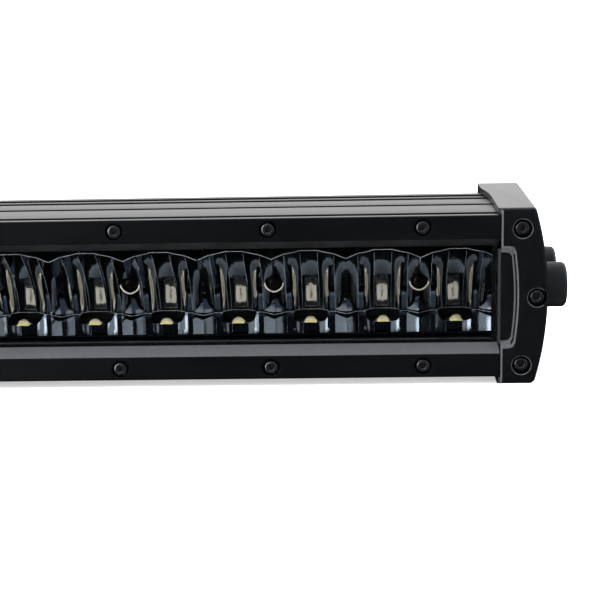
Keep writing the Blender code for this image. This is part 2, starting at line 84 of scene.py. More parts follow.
# Housing, rails and caps
HOUSING_BOTTOM = 3.4
HOUSING_TOP = 76.6
GROOVE_Z = 75.2
DECK_GROOVES = ((28.2, 32.0), (45.6, 50.4), (53.8, 59.0))
FIN_COUNT = 11
FIN_TOP = 68.5
FIN_PITCH = 5.7
FIN_HALF = 1.2
FIN_ROOT = 57.5
MID_Z = 40.0
CAP_TOP = 79.6
CAP_DEPTH = 76.6
CAP_EDGE_X = 253.4
CAP_BULGE = 5.8
CAP_INNER = 238.4
CAP_WALL = 3.1
CAP_ROOM_TOP = 76.9
KNOB_R = 10.3
KNOB_SEAT = 258.8
KNOB_END = 270.0
KNOB_DEPTHS = {"front": 25.0, "rear": 63.0}
CAP_SCREWS = {"top": (247.7, 70.3), "middle": (254.4, 39.4), "bottom": (247.7, 8.6)}
BEZEL_SCREW_Z = {"upper": 71.4, "lower": 8.75}
GLAND_X = -247.0
GLAND_Z = 22.0

MODULE_XS = [(k - (MODULES - 1) / 2) * 2 * PITCH for k in range(MODULES)]


def at(x, depth, z):
    """A point in metres from its x, its depth behind the bezel's front and its height."""
    return Vector((x * MM, (FRONT + depth) * MM, z * MM))


# ---------------------------------------------------------------- mesh tools


def mesh_object(name, verts, faces):
    mesh = bpy.data.meshes.new(name)
    mesh.from_pydata([tuple(v) for v in verts], [], faces)
    body = bmesh.new()
    body.from_mesh(mesh)
    bmesh.ops.remove_doubles(body, verts=body.verts, dist=1e-7)
    bmesh.ops.recalc_face_normals(body, faces=body.faces)
    body.to_mesh(mesh)
    body.free()
    made = bpy.data.objects.new(name, mesh)
    bpy.context.scene.collection.objects.link(made)
    return made


def loft(name, rings):
    """A closed body through rings of equally many points, with a flat cap on each end."""
    count = len(rings[0])
    verts = [point for ring in rings for point in ring]
    faces = []
    for r in range(len(rings) - 1):
        for k in range(count):
            after = (k + 1) % count
            faces.append(
                (r * count + k, r * count + after, (r + 1) * count + after, (r + 1) * count + k)
            )
    faces.append(tuple(range(count)))
    faces.append(tuple((len(rings) - 1) * count + k for k in range(count)))
    return mesh_object(name, verts, faces)


def rounded(points, radius, steps=4):
    """The outline with arcs at its corners. radius is one number or one for each corner."""
    count = len(points)
    radii = radius if isinstance(radius, (list, tuple)) else [radius] * count
    result = []
    for k in range(count):
        before = Vector(points[k - 1])
        corner = Vector(points[k])
        after = Vector(points[(k + 1) % count])
        to_before = before - corner
        to_after = after - corner
        angle = to_before.angle(to_after, math.pi)
        if radii[k] <= 0 or angle > math.pi - 0.05:
            result.append(tuple(corner))
            continue
        reach = min(
            radii[k] / math.tan(angle / 2), 0.45 * to_before.length, 0.45 * to_after.length
        )
        start = corner + to_before.normalized() * reach
        end = corner + to_after.normalized() * reach
        for s in range(steps + 1):
            t = s / steps
            point = start * (1 - t) ** 2 + corner * 2 * t * (1 - t) + end * t * t
            result.append(tuple(point))
    return result


def hexagon(radius):
    return [
        (radius * math.cos(math.pi * k / 3), radius * math.sin(math.pi * k / 3)) for k in range(6)
    ]


def inset(points, distance):
    """A convex outline moved inwards, whichever way round it runs."""
    count = len(points)
    area = sum(
        points[k - 1][0] * points[k][1] - points[k][0] * points[k - 1][1] for k in range(count)
    )
    turn = 1 if area > 0 else -1
    result = []
    for k in range(count):
        a, b, c = Vector(points[k - 1]), Vector(points[k]), Vector(points[(k + 1) % count])
        first, second = (b - a).normalized(), (c - b).normalized()
        normal = Vector((-first.y - second.y, first.x + second.x)).normalized() * turn
        lean = max(0.3, normal.dot(Vector((-first.y, first.x)) * turn))
        result.append(tuple(b + normal * distance / lean))
    return result


def prism(name, axis, points, low, high):
    """An outline pushed along an axis: (depth, z) for X, (x, z) for Y and (x, depth) for Z."""
    place = {
        "X": lambda a, b, c: at(c, a, b),
        "Y": lambda a, b, c: at(a, c, b),
        "Z": lambda a, b, c: at(a, b, c),
    }[axis]
    return loft(name, [[place(a, b, c) for a, b in points] for c in (low, high)])


def turned(name, profile, sides, centre, axis):
    """A closed body turned about an axis from (radius, distance along it) points."""
    turn = {
        "X": lambda c, s, h: (h, c, s),
        "-X": lambda c, s, h: (-h, c, s),
        "Y": lambda c, s, h: (c, h, s),
        "Z": lambda c, s, h: (c, s, h),
    }[axis]
    rings = []
    for radius, height in profile:
        ring = []
        for k in range(sides):
            angle = 2 * math.pi * (k + 0.5) / sides
            offset = turn(radius * math.cos(angle), radius * math.sin(angle), height)
            ring.append(centre + Vector(offset) * MM)
        rings.append(ring)
    return loft(name, rings)


def cylinder(radius, first, last, sides, centre, axis="Y"):
    """A plain cylinder between two distances along its axis."""
    profile = [(0, first), (radius, first), (radius, last), (0, last)]
    return turned("cylinder", profile, sides, centre, axis)


def boolean(target, operation, *others):
    for other in others:
        change = target.modifiers.new(operation.lower(), "BOOLEAN")
        change.operation = operation
        change.solver = "MANIFOLD"
        change.object = other
    bpy.context.view_layer.update()
    shown = target.evaluated_get(bpy.context.evaluated_depsgraph_get())
    mesh = bpy.data.meshes.new_from_object(shown)
    target.modifiers.clear()
    target.data = mesh
    for other in others:
        bpy.data.objects.remove(other, do_unlink=True)


def smooth(thing, angle):
    thing.data.shade_smooth()
    thing.data.set_sharp_from_angle(angle=math.radians(angle))
    return thing


def bead(points, radius, sides=6):
    """A thin round thread along a line of (x, depth, z) points, closed at both ends."""
    line = [at(*p) for p in points]
    rings = []
    for k, point in enumerate(line):
        ahead = (line[min(k + 1, len(line) - 1)] - line[max(k - 1, 0)]).normalized()
        side = ahead.cross(Vector((0.3, 0.9, 0.2))).normalized()
        over = ahead.cross(side)
        rings.append([
            point + (side * math.cos(a) + over * math.sin(a)) * radius * MM
            for a in (2 * math.pi * j / sides for j in range(sides))
        ])
    return loft("bead", rings)


def merge(target, *others):
    """Adds the other meshes to the target's, keeping material indices."""
    body = bmesh.new()
    for thing in (target, *others):
        body.from_mesh(thing.data)
    body.to_mesh(target.data)
    body.free()
    for other in others:
        bpy.data.objects.remove(other, do_unlink=True)


def mirrored(source, name):
    made = bpy.data.objects.new(name, source.data.copy())
    bpy.context.scene.collection.objects.link(made)
    made.data.transform(Matrix.Scale(-1.0, 4, Vector((1, 0, 0))))
    made.data.flip_normals()
    return made


def dress(thing, *surfaces):
    thing.data.materials.clear()
    for surface in surfaces:
        thing.data.materials.append(surface)
    return thing


def settle(thing, slot, *nodes, body="bar"):
    """Hands a finished piece to the frame."""
    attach(thing, body)
    if nodes:
        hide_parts(*nodes)


def place_copies(source, slot, names, spots, replacing=True):
    """Puts copies of one piece, all sharing its mesh, in place of CAD nodes or as extra pieces."""
    for name, spot in zip(names, spots):
        made = bpy.data.objects.new(f"{name}_fine" if replacing else name, source.data)
        bpy.context.scene.collection.objects.link(made)
        made.location = spot * MM
        settle(made, slot, *([name] if replacing else []))
    bpy.data.objects.remove(source, do_unlink=True)


# ---------------------------------------------------------------- materials


def math_node(tree, operation, *values):
    """A math node fed by numbers and by other nodes' outputs."""
    made = tree.nodes.new("ShaderNodeMath")
    made.operation = operation
    for socket, value in zip(made.inputs, values):
        if isinstance(value, (int, float)):
            socket.default_value = value
        else:
            tree.links.new(value, socket)
    return made.outputs[0]


class Shader:
    """A Principled material with a few helpers for adding nodes."""

    def __init__(self, name, **values):
        self.material = bpy.data.materials.new(name)
        self.material.use_nodes = True
        self.tree = self.material.node_tree
        self.shader = self.tree.nodes["Principled BSDF"]
        for socket, value in values.items():
            self.shader.inputs[socket.replace("_", " ")].default_value = value
        self.coords = self.tree.nodes.new("ShaderNodeTexCoord").outputs["Object"]
        self.normal = None

    def node(self, kind, **settings):
        made = self.tree.nodes.new(kind)
        for key, value in settings.items():
            setattr(made, key, value)
        return made

    def link(self, start, end):
        self.tree.links.new(start, end)

    def math(self, operation, *values):
        return math_node(self.tree, operation, *values)

    def position(self):
        """The point's X, Y and Z in metres."""
        split = self.node("ShaderNodeSeparateXYZ")
        self.link(self.coords, split.inputs[0])
        return split.outputs

    def noise(self, size, detail=3.0, stretch=(1, 1, 1)):
        """Noise whose features are about size millimetres across, times stretch."""
        mapping = self.node("ShaderNodeMapping")
        mapping.inputs["Scale"].default_value = [1 / s for s in stretch]
        self.link(self.coords, mapping.inputs["Vector"])
        made = self.node("ShaderNodeTexNoise")
        made.inputs["Scale"].default_value = 1 / (size * MM)
        made.inputs["Detail"].default_value = detail
        made.inputs["Roughness"].default_value = 0.55
        self.link(mapping.outputs["Vector"], made.inputs["Vector"])
        return made.outputs["Fac"]

    def spread(self, value, low, high, start=0.3, end=0.7):
        made = self.node("ShaderNodeMapRange")
        made.inputs["From Min"].default_value = start
        made.inputs["From Max"].default_value = end
        made.inputs["To Min"].default_value = low
        made.inputs["To Max"].default_value = high
        self.link(value, made.inputs["Value"])
        return made.outputs["Result"]

    def colours(self, value, *stops):
        made = self.node("ShaderNodeValToRGB")
        ramp = made.color_ramp
        while len(ramp.elements) < len(stops):
            ramp.elements.new(0.5)
        for element, (position, colour) in zip(ramp.elements, stops):
            element.position = position
            element.color = (*colour, 1.0)
        self.link(value, made.inputs["Fac"])
        self.link(made.outputs["Color"], self.shader.inputs["Base Color"])

    def rough(self, value, low, high):
        self.link(self.spread(value, low, high), self.shader.inputs["Roughness"])

    def bump(self, value, height):
        made = self.node("ShaderNodeBump")
        made.inputs["Strength"].default_value = 1.0
        made.inputs["Distance"].default_value = height * MM
        self.link(value, made.inputs["Height"])
        if self.normal:
            self.link(self.normal, made.inputs["Normal"])
        self.normal = made.outputs["Normal"]
        self.link(self.normal, self.shader.inputs["Normal"])

    def glow(self):
        """Lets the surface shine in its own base colour."""
        ramp = self.shader.inputs["Base Color"].links[0].from_socket
        self.link(ramp, self.shader.inputs["Emission Color"])

    def show_mixed(self, share, clear, covering):
        """Shows the covering shader over the clear one, by its share."""
        mix = self.node("ShaderNodeMixShader")
        self.link(share, mix.inputs["Fac"])
        self.link(clear.outputs["BSDF"], mix.inputs[1])
        self.link(covering.outputs["BSDF"], mix.inputs[2])
        self.link(mix.outputs["Shader"], self.tree.nodes["Material Output"].inputs["Surface"])

    def soft_edges(self, radius):
        made = self.node("ShaderNodeBevel", samples=6)
        made.inputs["Radius"].default_value = radius * MM
        self.normal = made.outputs["Normal"]
        self.link(self.normal, self.shader.inputs["Normal"])


BLUISH = (0.75, 1.0, 1.4)
COOL = (0.86, 1.0, 1.14)


def grey(level, tint=(1.0, 1.0, 1.0)):
    return tuple(level * t for t in tint)


def grained(name, grain, low, high, roughness, bump=0.0, cloud=None, stops=(0.3, 0.7), soft=0.0,
            **values):
    """A material whose roughness and relief follow a fine grain.

    Its colour runs from low to high with the cloud, or with the grain if it has no cloud. Grain
    and cloud are what Shader.noise takes.
    """
    made = Shader(name, **values)
    if soft:
        made.soft_edges(soft)
    fine = made.noise(*grain)
    tone = made.noise(*cloud) if cloud else fine
    made.colours(tone, (stops[0], low), (stops[1], high))
    made.rough(fine, *roughness)
    if bump:
        made.bump(fine, bump)
    return made.material


def powder_coat():
    return grained(
        "fine_black_powder_coat", (0.35, 4.0), grey(0.0012, BLUISH), grey(0.002, BLUISH),
        (0.32, 0.42), 0.012, cloud=(9.0,), soft=0.3, Specular_IOR_Level=1.0,
    )


def rail_paint():
    made = Shader("satin_black_rail_paint", Specular_IOR_Level=0.5)
    made.soft_edges(0.2)
    peel = made.noise(0.8, detail=2.0)
    cloud = made.noise(14.0, stretch=(5, 1, 1))
    made.colours(cloud, (0.3, grey(0.0012, BLUISH)), (0.7, grey(0.002, BLUISH)))
    made.rough(cloud, 0.32, 0.40)
    made.bump(peel, 0.008)
    return made.material


def painted_edge_highlight(name, low, high):
    """A chamfer, cast edge or lip, painted lighter than the faces beside it: a painted highlight.
    """
    return grained(
        name, (0.4, 4.0, (3, 1, 1)), grey(low, (0.95, 1.0, 1.06)), grey(high, (0.94, 1.0, 1.08)),
        (0.36, 0.48), 0.02, soft=0.2, Specular_IOR_Level=1.0,
    )


def anodised():
    return grained(
        "black_anodised_extrusion", (0.5, 4.0, (400, 1, 1)), grey(0.002),
        grey(0.003, (0.98, 1.0, 1.05)), (0.34, 0.46), 0.006, cloud=(20.0, 3.0, (4, 1, 1)),
        Specular_IOR_Level=0.65,
    )


def metallised():
    made = Shader("metallised_reflector_skin", Metallic=1.0)
    haze = made.noise(6.0, detail=4.0)
    ripple = made.noise(2.4, detail=1.0, stretch=(1, 1, 4))
    made.colours(haze, (0.3, grey(0.57, (0.97, 1.0, 1.03))), (0.7, grey(0.63, (0.96, 1.0, 1.04))))
    made.rough(haze, 0.025, 0.06)
    made.bump(ripple, 0.02)
    return made.material


def painted_edge_line(name, low, high):
    """A reflector's edge line, painted pale as a painted highlight."""
    return grained(name, (0.8,), low, high, (0.25, 0.4), Specular_IOR_Level=0.5)


def screw_steel():
    return grained(
        "black_zinc_screw_steel", (0.25,), grey(0.03), grey(0.08, (1.03, 1.0, 0.97)),
        (0.24, 0.42), 0.006, cloud=(1.4,), Metallic=0.9,
    )


def worn_steel():
    return grained(
        "screw_edges_worn_bright", (0.3,), grey(0.25), grey(0.75, (1.02, 1.0, 0.96)),
        (0.25, 0.45), stops=(0.35, 0.6), Metallic=1.0,
    )


def bronze_steel():
    return grained(
        "yellow_zinc_screw_steel", (0.3,), (0.05, 0.04, 0.03), (0.12, 0.09, 0.06),
        (0.25, 0.4), 0.006, Metallic=1.0,
    )


def moulded():
    return grained(
        "black_moulded_nylon", (0.25,), grey(0.005, BLUISH), grey(0.008, BLUISH),
        (0.50, 0.62), 0.006, cloud=(5.0,), Specular_IOR_Level=0.4,
    )


def rubber():
    return grained(
        "black_silicone_rubber", (0.5, 4.0), grey(0.002), grey(0.004),
        (0.6, 0.8), 0.01, Specular_IOR_Level=0.35,
    )


def end_wall():
    return grained(
        "black_cast_end_plate", (0.7, 4.0), grey(0.004), grey(0.007),
        (0.22, 0.34), 0.008, Specular_IOR_Level=0.5,
    )


def solder_mask():
    return grained(
        "green_solder_mask_board", (0.6, 2.0, (4, 1, 1)), (0.003, 0.012, 0.006),
        (0.006, 0.022, 0.011), (0.25, 0.4), 0.01, stops=(0.35, 0.65),
    )


def led_base():
    return grained("dark_ceramic_package", (0.2,), grey(0.02), grey(0.035), (0.35, 0.5))


def phosphor():
    # The phosphor glows in its own colour, though the emitter is unlit: painted light.
    made = Shader("cream_phosphor_with_painted_glow", Roughness=0.6, Emission_Strength=0.45)
    made.colours(made.noise(0.35), (0.3, (0.62, 0.56, 0.46)), (0.7, (0.78, 0.72, 0.62)))
    made.glow()
    return made.material


def well_shadow():
    return grained(
        "dark_screw_well", (0.6,), grey(0.003), grey(0.006), (0.3, 0.45), Specular_IOR_Level=0.2
    )


def plated_frame():
    return grained("plated_package_frame", (0.3,), grey(0.6), grey(0.8), (0.25, 0.4), Metallic=1.0)


def led_board_mask():
    """Black solder mask with a pale plated half-ellipse behind each emitter."""
    made = Shader("black_solder_mask_board")
    grain = made.noise(0.6, detail=2.0, stretch=(4, 1, 1))
    place = made.position()
    start = (FRONT + PAD_START) * MM
    across = made.math("ADD", place["X"], HALF_CELL * MM)
    across = made.math("PINGPONG", across, HALF_CELL * MM)
    side = made.math("DIVIDE", across, PAD_HALF_WIDTH * MM)
    back = made.math("DIVIDE", made.math("SUBTRACT", place["Y"], start), PAD_LENGTH * MM)
    reach = made.math("ADD", made.math("MULTIPLY", side, side), made.math("MULTIPLY", back, back))
    behind = made.math("GREATER_THAN", place["Y"], start)
    pad = made.math("MULTIPLY", made.math("LESS_THAN", reach, 1.0), behind)
    pad = made.math("MULTIPLY", pad, made.math("ADD", 0.55, made.math("MULTIPLY", reach, 0.4)))
    level = made.math("ADD", made.math("MULTIPLY", pad, 0.8), made.math("MULTIPLY", grain, 0.1))
    mask = (0.0, grey(0.006)), (0.2, grey(0.010))
    plating = (0.75, grey(0.34, COOL)), (1.0, grey(0.46, COOL))
    made.colours(level, *mask, *plating)
    made.rough(grain, 0.3, 0.45)
    made.bump(grain, 0.01)
    return made.material


def dome_with_painted_phosphor_image():
    """The dome: painted with the image of the phosphor seen through it, yellow at its front foot,
    beige and partly opaque above it and clearer towards the top, and glowing faintly as painted
    light.
    """
    made = Shader("dome_silicone_with_painted_glow", Roughness=0.12, Emission_Strength=0.1, IOR=1.41)
    haze = made.noise(0.9)
    place = made.position()
    middle = FRONT + LED_DEPTH
    height = made.spread(place["Z"], 0.0, 1.0, LED_TOP * MM, (LED_TOP + 2.5) * MM)
    back = made.spread(place["Y"], 0.0, 0.25, middle * MM, (middle + 1) * MM)
    level = made.math("MAXIMUM", height, back)
    yellow, beige, pale = (0.80, 0.78, 0.06), (0.60, 0.54, 0.38), (0.66, 0.62, 0.52)
    made.colours(level, (0.14, yellow), (0.22, beige), (0.9, pale))
    made.glow()
    solid = made.spread(height, 1.0, 0.25, 0.15, 0.85)
    opaque = made.math("MULTIPLY", solid, made.spread(haze, 0.85, 1.0))
    made.show_mixed(opaque, made.node("ShaderNodeBsdfTransparent"), made.shader)
    return made.material


def clear_shell(name, tint, ior, size, smears):
    """A thin clear skin: what is behind shows straight through, under a gloss."""
    made = Shader(name)
    made.tree.nodes.remove(made.shader)
    gloss = made.node("ShaderNodeBsdfGlossy")
    gloss.inputs["Color"].default_value = (1, 1, 1, 1)
    made.link(made.spread(made.noise(size, stretch=(3, 1, 1)), *smears), gloss.inputs["Roughness"])
    clear = made.node("ShaderNodeBsdfTransparent")
    clear.inputs["Color"].default_value = (*tint, 1)
    fresnel = made.node("ShaderNodeFresnel")
    fresnel.inputs["IOR"].default_value = ior
    backfacing = made.node("ShaderNodeNewGeometry").outputs["Backfacing"]
    outside = made.math("SUBTRACT", 1.0, backfacing)
    made.show_mixed(made.math("MULTIPLY", fresnel.outputs["Fac"], outside), clear, gloss)
    return made.material


def floor_paper():
    made = Shader("pale_lit_table", Roughness=0.9, Specular_IOR_Level=0.1, Emission_Strength=0.45)
    cloud = made.noise(60.0)
    made.colours(cloud, (0.3, grey(0.90)), (0.7, grey(0.92)))
    made.glow()
    return made.material


# ---------------------------------------------------------------- housing and rails


def fin_tip(z):
    """How far back the fin at z reaches: the fins are longest at mid height."""
    return 73.8 - 8.5 * ((z - MID_Z) / (HOUSING_TOP - MID_Z)) ** 2


def housing(surface):
    front = [
        (FIN_ROOT, 6.4), (61.0, 6.4), (61.0, 4.4), (60.0, HOUSING_BOTTOM), (4.6, HOUSING_BOTTOM),
        (3.8, 4.2),
        (3.8, 14.6), (13.3, 14.6), (13.3, 17.4), (53.0, 17.4), (53.0, 62.0), (13.3, 62.0),
        (13.3, 64.9), (3.8, 64.9), (3.8, 74.4), (4.6, GROOVE_Z), (8.3, GROOVE_Z),
        (8.3, HOUSING_TOP),
    ]
    deck = []
    for low, high in DECK_GROOVES:
        deck += [(low, HOUSING_TOP), (low, GROOVE_Z), (high, GROOVE_Z), (high, HOUSING_TOP)]
    deck += [(64.0, HOUSING_TOP), (66.0, GROOVE_Z), (66.0, 73.6), (FIN_ROOT, 73.6)]
    points = front + deck
    radii = [0.3] * len(points)
    for k in range(FIN_COUNT):
        z = FIN_TOP - k * FIN_PITCH
        over, under = z + FIN_HALF, z - FIN_HALF
        tip = fin_tip(z)
        points += [(FIN_ROOT, over), (tip, over), (tip, under), (FIN_ROOT, under)]
        radii += [0.8, 0.9, 0.9, 0.8]
    made = prism("heatsink_housing_fine", "X", rounded(points, radii, 3), -HALF_ROW, HALF_ROW)
    dress(smooth(made, 25), surface)
    settle(made, "black_anodised_housing", "heatsink_housing")


def rail(row, points, surface, cut):
    """A bezel rail with its screw recesses. cut is the material of its sloping chamfer, painted
    lighter than the rail as a painted highlight.
    """
    name = f"{row}_bezel_rail"
    radii = [0.6, 0.25, 0.2, 0.2, 0.3, 0.8]
    made = prism(f"{name}_fine", "X", rounded(points, radii, 4), -HALF_ROW, HALF_ROW)
    recess = [(0.0, 2.3), (3.95, 2.3), (3.95, 0.2), (4.25, -0.1), (4.7, -1.0), (0.0, -1.0)]
    cutters = [turned("cutter", recess, 40, at(x, 0, BEZEL_SCREW_Z[row]), "Y") for x in MODULE_XS]
    boolean(made, "DIFFERENCE", *cutters)
    dress(smooth(made, 25), surface, cut)
    # The sloping chamfer faces take cut, painted lighter than the rail: a painted highlight.
    for face in made.data.polygons:
        lean = abs(face.normal.z)
        if abs(face.normal.x) < 0.1 and face.normal.y < -0.3 and 0.75 < lean < 0.95:
            if 12.0 < face.center.z / MM < 68.0:
                face.material_index = 1
    settle(made, "black_painted_bezel", name)


def rails(surface, cut_upper, cut_lower):
    top, bottom = HOUSING_TOP, HOUSING_BOTTOM
    upper = [(0, 66.1), (8, 61.5), (8, 64.3), (3.5, 64.3), (3.5, top), (0, top)]
    lower = [(0, 14.1), (8, 17.7), (8, 14.9), (3.5, 14.9), (3.5, bottom), (0, bottom)]
    rail("upper", upper, surface, cut_upper)
    rail("lower", lower, surface, cut_lower)


# ---------------------------------------------------------------- reflectors


def flute(x):
    """The faceted wall's depth at the focus height and how far the flute bulges from it there."""
    x = max(-16.999, min(16.999, x))
    for low, high, bulge in zip(FLUTES, FLUTES[1:], BULGES):
        if low <= x <= high:
            share = (x - low) / (high - low)
            flat = VERTEX_DEPTH - (low * low * (1 - share) + high * high * share) / (4 * FOCAL)
            return flat, bulge * 4 * share * (1 - share)


def wall_depth(x, z):
    """The wall's depth, x from its cell's middle. The flutes flatten towards the rim."""
    flat, bulge = flute(x)
    share = max(0.0, min(1.0, (z - 34.0) / 22.0))
    fade = 1 - (1 - RIM_BULGE) * share * share * (3 - 2 * share)
    return flat - bulge * fade - (z - FOCUS_Z) ** 2 / (4 * FOCAL)


def rim_height(x):
    flat, bulge = flute(x)
    return FOCUS_Z + math.sqrt(4 * FOCAL * (flat - RIM_BULGE * bulge - REFLECTOR_FRONT))


def from_cell(x):
    """A module's x near its middle, measured from the middle of the cell that it is in."""
    return x + HALF_CELL if x < 0 else x - HALF_CELL


def shelf_height(depth):
    return SHELF_FRONT_Z + SHELF_SLOPE * (depth - REFLECTOR_FRONT)


def foot(x):
    """Where the wall meets the shelf at x from the cell's middle, as (depth, z)."""
    z = FOCUS_Z
    for _ in range(12):
        z = shelf_height(wall_depth(x, z))
    return wall_depth(x, z), z


def reflector_column(across, x, back):
    """Points from the shelf's front edge to the rim, on the bright side or on the back."""
    low = foot(x)[1]
    high = rim_height(x)
    drop = SHELL if back else 0.0
    points = [(across, REFLECTOR_FRONT, SHELF_FRONT_Z - drop)]
    for k in range(BOWL_ROWS + 1):
        share = (k / BOWL_ROWS) ** 0.8
        z = low + (high - low) * share
        depth = wall_depth(x, z)
        if back:
            lean = (z - FOCUS_Z) / (2 * FOCAL)
            size = math.hypot(1.0, lean)
            thick = SHELL * (1 - 0.4 * share)
            depth = max(REFLECTOR_FRONT, depth + thick / size) if share < 1 else REFLECTOR_FRONT
            z += thick * lean / size
            if k == 0:
                z = low - SHELL
        points.append((across, depth, z))
    return points


def reflector_mesh():
    columns = [(-PITCH + 0.05, FLUTES[0])]
    for cell in (-1, 1):
        for low, high in zip(FLUTES, FLUTES[1:]):
            for k in range(1, FLUTE_STEPS + 1):
                x = low + (high - low) * k / FLUTE_STEPS
                across = cell * HALF_CELL + x
                columns.append((min(across, PITCH - 0.05), x))
    skins = [[reflector_column(a, x, back) for a, x in columns] for back in (False, True)]
    tall = len(skins[0][0])
    wide = len(columns)
    verts = [at(*point) for skin in skins for column in skin for point in column]

    def index(skin, i, j):
        return (skin * wide + i) * tall + j

    faces = [
        (index(s, i, j), index(s, i + 1, j), index(s, i + 1, j + 1), index(s, i, j + 1))
        for s in (0, 1) for i in range(wide - 1) for j in range(tall - 1)
    ]
    for i in range(wide - 1):
        for j in (0, tall - 1):
            faces.append((index(0, i, j), index(0, i + 1, j), index(1, i + 1, j), index(1, i, j)))
    for j in range(tall - 1):
        for i in (0, wide - 1):
            faces.append((index(0, i, j), index(0, i, j + 1), index(1, i, j + 1), index(1, i, j)))
    return mesh_object("reflector", verts, faces)


def notch(x):
    """The rounded cut-out around one emitter, open as far back as the wall's foot."""
    front = [(-8.0, 45.0), (-7.9, 39.0), (-7.0, 34.4), (-3.6, 32.5)]
    front += [(-a, b) for a, b in reversed(front)]
    plan = rounded(front, [0, 6.0, 3.0, 1.5, 1.5, 3.0, 6.0, 0], 6)
    plan += [(8.0, 49.5), (-8.0, 49.5)]
    return prism("notch", "Z", [(x + a, b) for a, b in plan], 15.0, NOTCH_Z)


def relief(centre):
    """The gap that widens between shelf and wall where two cells meet."""
    rear, front = [], []
    for k in range(-16, 17):
        x = k * 0.5
        depth = foot(from_cell(x))[0] - 0.3
        rear.append((centre + x, depth))
        front.append((centre + x, depth - 0.3 - 5.0 * (1 - abs(x) / 8.0) ** 0.8))
    return prism("relief", "Z", rear + front[::-1], 15.0, RELIEF_Z)


def edge_threads():
    """Fine threads along the rims, the walls' feet and the ridges between flutes, which carry
    painted highlights.
    """
    threads, rim = [], []
    for cell in (-HALF_CELL, HALF_CELL):
        rim += [(cell + 0.99 * k, REFLECTOR_FRONT, rim_height(k) - 0.1) for k in range(-17, 18)]
        base = []
        for k in range(-14, 15):
            x = 1.2 * k
            z = max(foot(x)[1] + 0.2, NOTCH_Z + 0.05 if abs(x) < 8.0 else 0.0)
            base.append((cell + x, wall_depth(x, z), z))
        threads.append(bead(base, 0.1))
        for x in FLUTES[1:-1]:
            line = []
            for k in range(25):
                z = 25.5 + 31.0 * k / 24
                if wall_depth(x, z) > REFLECTOR_FRONT + 0.3:
                    line.append((cell + x, wall_depth(x, z) + 0.02, z))
            threads.append(bead(line, 0.055))
    threads.append(bead(rim, 0.11, 8))
    return threads


def well_lip():
    """The lower half of the screw well's mouth, following the wall. Its pale colour is a painted
    highlight, on the lower half where light from above falls.
    """
    radius = WELL_R + 0.1
    mouth = []
    for k in range(25):
        angle = math.pi * (1.0 + k / 24)
        x, z = radius * math.cos(angle), WELL_Z + radius * math.sin(angle)
        mouth.append((x, wall_depth(from_cell(x), z) + 0.25, z))
    return bead(mouth, 0.34, 8)


def reflectors(surface, inside, edge, mouth_highlight):
    """One two-cell module, with a screw well between its cells, copied along the row."""
    made = reflector_mesh()
    cuts = [notch(-HALF_CELL), notch(HALF_CELL), relief(-PITCH), relief(0.0), relief(PITCH)]
    boolean(made, "DIFFERENCE", *cuts)
    centre = at(0, 0, WELL_Z)
    boolean(made, "UNION", cylinder(WELL_R + 0.5, 40.4, 52.7, 48, centre))
    boolean(made, "DIFFERENCE", cylinder(WELL_R, 15, WELL_FLOOR, 48, centre))
    threads, lip = edge_threads(), well_lip()
    for thread in (*threads, lip):
        smooth(thread, 60)
    smooth(made, 9)
    skin = len(made.data.polygons)
    merge(made, *threads)
    lines = len(made.data.polygons)
    merge(made, lip)
    dress(made, surface, inside, edge, mouth_highlight)
    # The threads take the pale ridge material and the well's lip the pale mouth material: painted
    # highlights.
    for face in made.data.polygons:
        if face.index >= skin:
            face.material_index = 2 if face.index < lines else 3
            continue
        depth = face.center.y / MM - FRONT
        spot = math.hypot(face.center.x, face.center.z - WELL_Z * MM) / MM
        lined = abs(face.normal.y) < 0.2 or depth > WELL_FLOOR - 0.2
        if spot < WELL_R + 0.01 and depth > 36.0 and lined:
            face.material_index = 1
    nodes = [f"reflector_module_{k + 1}" for k in range(MODULES)]
    place_copies(made, "metallised_reflector", nodes, [Vector((x, 0, 0)) for x in MODULE_XS])


def emitters(base, cream, frame_line, dome):
    """One emitter: a dark package, a bright frame, the phosphor and a dome."""

    def square(half):
        corners = [(-half, LED_DEPTH - half), (half, LED_DEPTH - half),
                   (half, LED_DEPTH + half), (-half, LED_DEPTH + half)]
        return rounded(corners, 0.3, 3)

    body = dress(prism("led", "Z", square(3.5), LED_LOW, LED_TOP - 0.09), base)
    border = dress(prism("border", "Z", square(3.5), LED_TOP - 0.09, LED_TOP - 0.06), frame_line)
    mask = dress(prism("mask", "Z", square(3.32), LED_TOP - 0.06, LED_TOP - 0.03), base)
    layer = dress(prism("layer", "Z", square(2.85), LED_TOP - 0.03, LED_TOP), cream)
    arc = [(DOME_R, 0.012), (DOME_R, 0.4)]
    for k in range(2, 13):
        angle = k * math.pi / 24
        arc.append((DOME_R * math.cos(angle), 0.92 * DOME_R * math.sin(angle)))
    shell = turned("dome", [(0, 0.012), *arc], 40, at(0, LED_DEPTH, LED_TOP), "Z")
    dress(smooth(shell, 40), dome)
    parts = [body, border, mask, layer, shell]
    bpy.context.view_layer.objects.active = body
    with bpy.context.temp_override(
        active_object=body, selected_editable_objects=parts, selected_objects=parts
    ):
        bpy.ops.object.join()
    nodes = [f"led_emitter_{k + 1:02d}" for k in range(2 * MODULES)]
    spots = [Vector(((k - MODULES + 0.5) * PITCH, 0, 0)) for k in range(2 * MODULES)]
    place_copies(body, "emitter_dome", nodes, spots)


# ---------------------------------------------------------------- end caps


def cap_edge(z, inward=0.0):
    """The x of the cap's bowed outer side at z, or of a line kept inward of it."""
    return CAP_EDGE_X + CAP_BULGE * (1 - ((z - MID_Z) / MID_Z) ** 2) - inward


